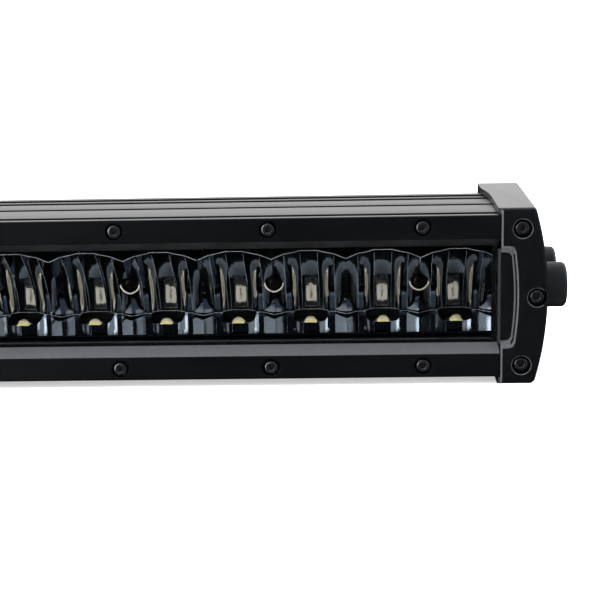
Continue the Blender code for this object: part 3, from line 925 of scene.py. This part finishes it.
def cap_outline():
    low, high, steps = 1.3, CAP_TOP - 1.0, 48
    heights = [low + (high - low) * k / steps for k in range(steps + 1)]
    side = [(cap_edge(z), z) for z in heights]
    foot_x, top_x = cap_edge(0), cap_edge(CAP_TOP)
    bottom = [(230.0, 0.0), (foot_x - 1.7, 0.0), (foot_x - 0.9, 0.25), (foot_x - 0.3, 0.7)]
    top = [(top_x - 0.15, CAP_TOP - 0.5), (top_x - 0.5, CAP_TOP - 0.15), (top_x - 1.0, CAP_TOP),
           (230.0, CAP_TOP)]
    return bottom + side + top


def cap_blank():
    """The cap's solid outline with its front and rear edges rounded over."""
    outline = cap_outline()
    front, rear, steps = 1.5, 1.0, 6
    angles = [k * math.pi / 2 / steps for k in range(steps + 1)]
    levels = [(front * (1 - math.sin(a)), front * (1 - math.cos(a))) for a in angles]
    levels += [(rear * (1 - math.cos(a)), CAP_DEPTH - rear * (1 - math.sin(a))) for a in angles]
    rings = [[at(x, depth, z) for x, z in inset(outline, inward)] for inward, depth in levels]
    return loft("end_cap_right_fine", rings)


def smooth_curve(points, steps=6):
    """A Catmull-Rom curve through the points."""
    ends = [points[0], *points, points[-1]]
    result = []
    for k in range(1, len(ends) - 2):
        p = [Vector(q) for q in ends[k - 1 : k + 3]]
        for s in range(steps):
            t = s / steps
            result.append(tuple(0.5 * (
                2 * p[1] + (p[2] - p[0]) * t
                + (2 * p[0] - 5 * p[1] + 4 * p[2] - p[3]) * t * t
                + (3 * p[1] - p[0] - 3 * p[2] + p[3]) * t ** 3)))
    return [*result, points[-1]]


def flange_cutter():
    """Clears the cap's inner side: a sloped front edge, then a sweep out over the deck."""
    sweep = smooth_curve([(237.0, 30.0), (236.9, 37.0), (236.5, 44.0), (235.6, 51.0),
                          (234.7, 57.0), (234.15, 63.0), (234.0, 70.0), (234.0, 80.0)])
    edge = [(239.2, -5.0), (239.2, 0.0), (238.3, 0.4), (237.4, 0.8), (237.1, 1.2), (237.05, 2.6)]
    return prism("flange", "Z", [*edge, *sweep, (222.0, 80.0), (222.0, -5.0)], -5.0, 85.0)


def scoop_cutter():
    """The D-shaped recess: a chamfered lip, a steep wall, a sloping foot and a flat floor."""
    lip, wall = [(-0.8, -0.5), (0.0, 0.0), (0.55, 0.24)], [(0.75, 0.5), (1.3, 1.75)]
    profile = [*lip, *wall, (1.45, 1.95), (1.95, 2.3)]
    steps, corner = 24, 2.6
    rings = []
    for inward, depth in profile:
        low, high = 16.4 + 1.6 * inward, 62.7 - 1.6 * inward
        heights = [low + (high - low) * k / steps for k in range(steps + 1)]
        side = [(cap_edge(z, 12.9 + inward), z) for z in heights]
        kept = [(x, z) for x, z in side if low + corner <= z <= high - corner]
        bend = [(corner * (1 - math.cos(a)), corner * math.sin(a))
                for a in (math.pi / 2 * s / 6 for s in range(1, 7))]
        bend_low = [(kept[0][0] - a, low + corner - b) for a, b in reversed(bend)]
        bend_high = [(kept[-1][0] - a, high - corner + b) for a, b in bend]
        rings.append([(228.0, low), *bend_low, *kept, *bend_high, (228.0, high)])
    count = min(len(ring) for ring in rings)
    rings = [resample(ring, count) for ring in rings]
    solid = [[at(x, depth, z) for x, z in ring] for ring, (_, depth) in zip(rings, profile)]
    return loft("scoop", solid)


def resample(points, count):
    """The same open line with a set number of points, evenly spread along it."""
    lengths = [0.0]
    for a, b in zip(points, points[1:]):
        lengths.append(lengths[-1] + math.dist(a, b))
    result = []
    k = 0
    for s in range(count):
        goal = lengths[-1] * s / (count - 1)
        while k < len(points) - 2 and lengths[k + 1] < goal:
            k += 1
        share = (goal - lengths[k]) / max(1e-9, lengths[k + 1] - lengths[k])
        a, b = points[k], points[k + 1]
        result.append((a[0] + (b[0] - a[0]) * share, a[1] + (b[1] - a[1]) * share))
    return result


def end_caps(surface, thin):
    """The right cap, and its mirror image with a port for the gland."""
    made = cap_blank()
    low, high, steps = CAP_WALL, CAP_ROOM_TOP, 24
    inner = [(220, low), (CAP_INNER, low), (CAP_INNER, high), (220, high)]
    room = prism("room", "Y", inner, -5, 74.3)
    heights = [low + (high - low) * k / steps for k in range(steps + 1)]
    side = [(cap_edge(z, 1.8), z) for z in heights]
    cavity = prism("cavity", "Y", [(236.0, low), *side, (236.0, high)], 9.0, 74.3)
    boolean(made, "DIFFERENCE", flange_cutter(), room, cavity)
    strip = rounded([(237.1, 8.0), (237.1, 3.3), (238.9, 2.5), (239.6, 2.3), (240.0, 8.0)],
                    [0.2, 0.5, 0.2, 0, 0], 6)
    boolean(made, "UNION", prism("tongue", "Z", strip, 18.1, 61.1))
    boolean(made, "DIFFERENCE", scoop_cutter())
    recess = [(0, 5.0), (4.0, 5.0), (4.2, 4.8), (4.2, 0.3), (4.6, -0.1), (4.75, -1.0), (0, -1.0)]
    for x, z in CAP_SCREWS.values():
        centre = at(x, 0, z)
        boolean(made, "DIFFERENCE", turned("recess", recess, 48, centre, "Y"),
                cylinder(1.8, 12.0, 4.0, 24, centre))
    for depth in KNOB_DEPTHS.values():
        centre = at(0, depth, MID_Z)
        boolean(made, "DIFFERENCE", cylinder(11.2, KNOB_SEAT, 265.0, 64, centre, "X"),
                cylinder(3.3, 250.0, 262.0, 32, centre, "X"))
    left = mirrored(made, "end_cap_left_fine")
    boolean(left, "DIFFERENCE", cylinder(6.3, 70.0, 80.0, 40, at(GLAND_X, 0, GLAND_Z)))
    for thing, node in ((made, "end_cap_right"), (left, "end_cap_left")):
        dress(smooth(thing, 22), surface, thin)
        # thin is the lighter material for the cap's slanted edge faces: a painted highlight along
        # the edges.
        for face in thing.data.polygons:
            x, z = abs(face.center.x) / MM, face.center.z / MM
            slanted = 0.55 < -face.normal.y < 0.98 and face.center.y < (FRONT + 2.6) * MM
            if slanted and x < cap_edge(z) - 1.8 and 1.8 < z < 77.8:
                face.material_index = 1
        settle(thing, "black_powder_coat", node)


# ---------------------------------------------------------------- screws, knobs and gland


def socket_screw(name, head_r, top, floor, tip, key_r, surface, worn):
    """A cap-head screw along Y with a hexagon socket and a bevelled rim."""
    deep = (floor - top) * 0.7
    profile = [
        (0, top), (key_r + 0.25, top), (head_r - 0.45, top), (head_r - 0.12, top + 0.12),
        (head_r, top + 0.42), (head_r, floor), (1.5, floor), (1.5, tip - 0.6), (1.1, tip), (0, tip),
    ]
    made = turned(name, profile, 40, at(0, 0, 0), "Y")
    key = hexagon(key_r)
    flare = [(1.12 * a, 1.12 * b) for a, b in key]
    levels = ((flare, top - 0.5), (flare, top), (key, top + 0.15), (key, top + deep))
    rings = [[at(a, depth, b) for a, b in ring] for ring, depth in levels]
    boolean(made, "DIFFERENCE", loft("key", rings))
    dress(smooth(made, 30), surface, worn)
    for face in made.data.polygons:
        if 0.15 < abs(face.normal.y) < 0.97 and face.center.y < (FRONT + top + 1.0) * MM:
            face.material_index = 1
    return made


def screws(surface, worn):
    made = socket_screw("bezel_screw", 2.8, 0.2, 2.0, 12.0, 1.55, surface, worn)
    spots = {
        f"{row}_bezel_screw_{k + 1}": Vector((x, 0, z))
        for row, z in BEZEL_SCREW_Z.items() for k, x in enumerate(MODULE_XS)
    }
    place_copies(made, "black_zinc_screw", spots.keys(), spots.values())
    made = socket_screw("cap_screw", 2.9, 1.8, 4.7, 17.5, 1.6, surface, worn)
    spots = {
        f"cap_screw_{height}_{side}": Vector((sign * x, 0, z))
        for side, sign in (("left", -1), ("right", 1)) for height, (x, z) in CAP_SCREWS.items()
    }
    place_copies(made, "black_zinc_screw", spots.keys(), spots.values())


def reflector_screws(surface):
    """The pan heads at the bottom of the wells, each with a cross recess."""
    profile = [(0, 40.2), (1.4, 40.25), (2.4, 40.5), (3.0, 41.0), (3.1, 41.9), (1.4, 41.9),
               (1.4, 51.0), (0, 51.0)]
    source = turned("pan", profile, 32, at(0, 0, 0), "Y")
    cross = [(0.35, 0.35), (0.35, 1.6), (-0.35, 1.6), (-0.35, 0.35), (-1.6, 0.35), (-1.6, -0.35),
             (-0.35, -0.35), (-0.35, -1.6), (0.35, -1.6), (0.35, -0.35), (1.6, -0.35), (1.6, 0.35)]
    boolean(source, "DIFFERENCE", prism("cross", "Y", cross, 39.0, 41.2))
    dress(smooth(source, 30), surface)
    names = [f"reflector_screw_{k + 1}" for k in range(MODULES)]
    spots = [Vector((x, 0, WELL_Z)) for x in MODULE_XS]
    place_copies(source, "black_zinc_screw", names, spots, replacing=False)


def side_knobs(surface):
    start = KNOB_SEAT + 0.3
    length = KNOB_END - start
    rim = []
    for k in range(9):
        angle = k * math.pi / 16
        rim.append((KNOB_R - 2.2 * (1 - math.cos(angle)), length - 2.2 * (1 - math.sin(angle))))
    profile = [(0, 241.0 - start), (3.0, 241.0 - start), (3.0, 0.0), (KNOB_R - 0.4, 0.0),
               (KNOB_R, 0.4), *rim, (7.3, length), (6.9, length - 0.25), (6.4, length - 0.8),
               (4.2, length - 0.85), (0, length - 0.85)]
    key = hexagon(3.2)
    for side, sign in (("left", -1), ("right", 1)):
        for row, depth in KNOB_DEPTHS.items():
            node = f"side_knob_{row}_{side}"
            made = turned(f"{node}_fine", profile, 72, at(sign * start, depth, MID_Z),
                          "X" if sign > 0 else "-X")
            rings = [[at(sign * (start + far), depth + a, MID_Z + b) for a, b in key]
                     for far in (length - 5.0, length + 1.0)]
            boolean(made, "DIFFERENCE", loft("key", rings))
            dress(smooth(made, 30), surface)
            settle(made, "black_moulded_knob", node, body=f"{node}_body")


def cable_gland(surface):
    centre = at(GLAND_X, 0, GLAND_Z)
    rings = []
    for share, depth in ((0.94, 76.95), (1.0, 77.4), (1.0, 81.1), (0.94, 81.55)):
        corners = [(GLAND_X + a * share, GLAND_Z + b * share) for a, b in hexagon(8.9)]
        ring = rounded(corners, 0.8, 4)
        rings.append([at(a, depth, b) for a, b in ring])
    body = loft("cable_gland_body_fine", rings)
    thread = [(0, 73.4), (5.7, 73.4)]
    for k in range(14):
        thread += [(5.8, 74.0 + k * 1.1), (5.35, 74.55 + k * 1.1)]
    thread += [(5.5, 89.5), (0, 89.5)]
    boolean(body, "UNION", turned("thread", thread, 36, centre, "Y"))
    boolean(body, "DIFFERENCE", cylinder(3.6, 60.0, 95.0, 32, centre))
    dress(smooth(body, 30), surface)
    settle(body, "black_gland_plastic", "cable_gland_body")
    rings = []
    grip = [(7.6, 82.05), (8.0, 82.4), (8.0, 88.6)]
    crown = [(7.7, 90.0), (6.9, 91.4), (5.8, 92.3), (4.8, 92.6)]
    for radius, depth in grip + crown:
        ring = []
        for k in range(144):
            angle = 2 * math.pi * k / 144
            rib = 0.28 * max(0.0, math.cos(12 * angle)) ** 0.5 if depth < 89 else 0.0
            reach = radius + rib - 0.15
            ring.append(at(GLAND_X + reach * math.cos(angle), depth,
                           GLAND_Z + reach * math.sin(angle)))
        rings.append(ring)
    nut = loft("cable_gland_nut_fine", rings)
    mouth = [(0, 88.0), (3.2, 88.0), (3.2, 91.9), (4.0, 93.0), (0, 93.0)]
    boolean(nut, "DIFFERENCE", cylinder(6.2, 80.0, 90.2, 36, centre))
    boolean(nut, "DIFFERENCE", turned("mouth", mouth, 36, centre, "Y"))
    dress(smooth(nut, 30), surface)
    settle(nut, "black_gland_plastic", "cable_gland_nut")


def gasket_lip(surface):
    """The gasket's thin lip, which shows behind the lower chamfer, painted grey as a painted
    highlight.
    """
    end = HALF_ROW - 2.5
    made = bead([(x, 12.9, 18.1) for x in (-end, 0.0, end)], 0.16, 8)
    made.name = "lens_gasket_lip"
    dress(smooth(made, 60), surface)
    settle(made, "black_silicone_gasket")


# ---------------------------------------------------------------- carried-over CAD nodes


def plain_nodes():
    nodes = frame["nodes"]
    tint = (0.985, 0.99, 0.99)
    dress(nodes["lens"], clear_shell("clear_polycarbonate_lens", tint, 1.4, 30.0, (0.01, 0.05)))
    gasket = rubber()
    for name in ("lens_gasket", "end_gasket_left", "end_gasket_right"):
        dress(nodes[name], gasket)
    wall = end_wall()
    for name in ("end_plate_left", "end_plate_right"):
        dress(nodes[name], wall)
    dress(nodes["led_board"], led_board_mask())
    dress(nodes["driver_board"], solder_mask())


# ---------------------------------------------------------------- studio


def camera():
    """Level-headed long lens from the front right, a little above the bar."""
    yaw, pitch, roll = math.radians(-2.15), math.radians(12.72), math.radians(-1.19)
    level = math.cos(pitch)
    ahead = Vector((math.sin(yaw) * level, math.cos(yaw) * level, -math.sin(pitch)))
    right = Vector((math.cos(yaw), -math.sin(yaw), 0))
    up = right.cross(ahead)
    tilted_right = right * math.cos(roll) + up * math.sin(roll)
    tilted_up = up * math.cos(roll) - right * math.sin(roll)
    data = bpy.data.cameras.new("camera")
    data.lens = 90
    data.sensor_width = 36
    data.clip_start = 0.01
    data.clip_end = 100
    made = bpy.data.objects.new("camera", data)
    bpy.context.scene.collection.objects.link(made)
    matrix = Matrix((tilted_right, tilted_up, -ahead)).transposed().to_4x4()
    matrix.translation = at(173.92, -648.56, 186.20)
    made.matrix_world = matrix
    bpy.context.scene.camera = made


class Sky:
    """The soft light around the bar, as patches of azimuth and elevation in degrees.

    Azimuth 0 is straight in front of the bar and 90 is off its right end.
    """

    def __init__(self, tree):
        self.tree = tree
        coords = tree.nodes.new("ShaderNodeTexCoord")
        split = tree.nodes.new("ShaderNodeSeparateXYZ")
        tree.links.new(coords.outputs["Generated"], split.inputs[0])
        back = self.math("MULTIPLY", split.outputs["Y"], -1.0)
        self.azimuth = self.math("ARCTAN2", split.outputs["X"], back)
        self.elevation = self.math("ARCSINE", split.outputs["Z"])
        self.total = None

    def math(self, operation, *values):
        return math_node(self.tree, operation, *values)

    def ramp(self, angle, start, end):
        made = self.tree.nodes.new("ShaderNodeMapRange")
        made.interpolation_type = "SMOOTHSTEP"
        made.inputs["From Min"].default_value = math.radians(start)
        made.inputs["From Max"].default_value = math.radians(end)
        self.tree.links.new(angle, made.inputs["Value"])
        return made.outputs["Result"]

    def window(self, angle, low, high, soft):
        rise = self.ramp(angle, low - soft / 2, low + soft / 2)
        fall = self.ramp(angle, high - soft / 2, high + soft / 2)
        return self.math("SUBTRACT", rise, fall)

    def patch(self, level, colour, azimuth, elevation, soft=4.0, fade=None, rear=False):
        """Adds a patch. A rear patch's azimuth is how far it reaches either side of the back."""
        if rear:
            either_side = self.math("ABSOLUTE", self.azimuth)
            across = self.ramp(either_side, 180 - azimuth - soft / 2, 180 - azimuth + soft / 2)
        else:
            across = self.window(self.azimuth, *azimuth, soft)
        share = self.math("MULTIPLY", across, self.window(self.elevation, *elevation, fade or soft))
        self.add(self.math("MULTIPLY", share, level), colour)

    def add(self, share, colour):
        scale = self.tree.nodes.new("ShaderNodeVectorMath")
        scale.operation = "SCALE"
        scale.inputs[0].default_value = colour
        if isinstance(share, (int, float)):
            scale.inputs["Scale"].default_value = share
        else:
            self.tree.links.new(share, scale.inputs["Scale"])
        if self.total is None:
            self.total = scale.outputs[0]
            return
        both = self.tree.nodes.new("ShaderNodeVectorMath")
        both.operation = "ADD"
        for start, socket in zip((self.total, scale.outputs[0]), both.inputs):
            self.tree.links.new(start, socket)
        self.total = both.outputs[0]


def studio():
    """A bright table, an overhead lamp, and a sky seen only by direct reflections.

    Every other ray sees an even white, so the diffuse light and the backdrop stay plain.
    """
    scene = bpy.context.scene
    scene.view_settings.view_transform = "Standard"
    corners = [(-40, -40, 0), (40, -40, 0), (40, 40, 0), (-40, 40, 0)]
    floor = mesh_object("floor", corners, [(0, 1, 2, 3)])
    dress(floor, floor_paper())
    floor.visible_glossy = False

    world = bpy.data.worlds.new("studio")
    scene.world = world
    world.use_nodes = True
    world.cycles.sampling_method = "NONE"
    tree = world.node_tree
    sky = Sky(tree)
    white, cool, blue = (1, 1, 1), (0.92, 1.0, 1.10), (0.8, 1.0, 1.3)
    sky.add(0.008, blue)
    sky.patch(2.3, cool, (-49, -29), (-13, 15), 6, fade=11)
    sky.patch(0.45, cool, (-80, -49), (-10, 26), 6, fade=13)
    sky.patch(0.34, cool, (46, 57), (-12, 20), 5)
    sky.patch(0.30, cool, (27, 37), (-14, 12), 5)
    sky.patch(0.08, blue, (-49, 60), (14, 45), 8)
    sky.patch(0.3, blue, (-90, 90), (45, 78), 10)
    sky.patch(1.8, white, 85, (2, 45), 10, rear=True)
    sky.patch(1.0, white, 100, (45, 100), 14, rear=True)
    path = tree.nodes.new("ShaderNodeLightPath")
    mix = tree.nodes.new("ShaderNodeMix")
    mix.data_type = "RGBA"
    direct = sky.math("LESS_THAN", path.outputs["Diffuse Depth"], 0.5)
    mirrored_ray = sky.math("MULTIPLY", path.outputs["Is Glossy Ray"], direct)
    tree.links.new(mirrored_ray, mix.inputs["Factor"])
    mix.inputs[6].default_value = (1.8, 1.8, 1.8, 1)
    tree.links.new(sky.total, mix.inputs[7])
    tree.links.new(mix.outputs[2], tree.nodes["Background"].inputs["Color"])

    overhead = bpy.data.lights.new("overhead", "AREA")
    overhead.shape = "RECTANGLE"
    overhead.size, overhead.size_y = 1.5, 0.4
    overhead.energy = 55
    made = bpy.data.objects.new("overhead", overhead)
    scene.collection.objects.link(made)
    made.location = (-0.5, -0.3, 1.45)
    made.rotation_euler = (Vector((0.1, 0, 0)) - made.location).to_track_quat("-Z", "Y").to_euler()
    made.visible_camera = False
    made.visible_glossy = False


studio()
camera()
housing(anodised())
# Both chamfers are painted lighter than the rails: a dim painted sheen on the upper one and a
# bright painted highlight on the lower one.
rails(
    rail_paint(),
    painted_edge_highlight("dim_painted_sheen_on_upper_chamfer", 0.004, 0.008),
    painted_edge_highlight("bright_painted_highlight_on_lower_chamfer", 0.04, 0.08),
)
end_caps(powder_coat(), painted_edge_highlight("painted_highlight_on_cap_edges", 0.02, 0.08))
reflectors(
    metallised(),
    well_shadow(),
    painted_edge_line("painted_highlight_on_reflector_ridges", (0.18, 0.20, 0.22), (0.36, 0.39, 0.42)),
    painted_edge_line("painted_highlight_on_screw_well_lip", (0.42, 0.38, 0.30), (0.66, 0.62, 0.52)),
)
emitters(
    led_base(),
    phosphor(),
    plated_frame(),
    dome_with_painted_phosphor_image(),
)
screws(screw_steel(), worn_steel())
reflector_screws(bronze_steel())
nylon = moulded()
side_knobs(nylon)
cable_gland(nylon)
gasket_lip(painted_edge_highlight("painted_highlight_on_gasket_lip", 0.03, 0.06))
plain_nodes()
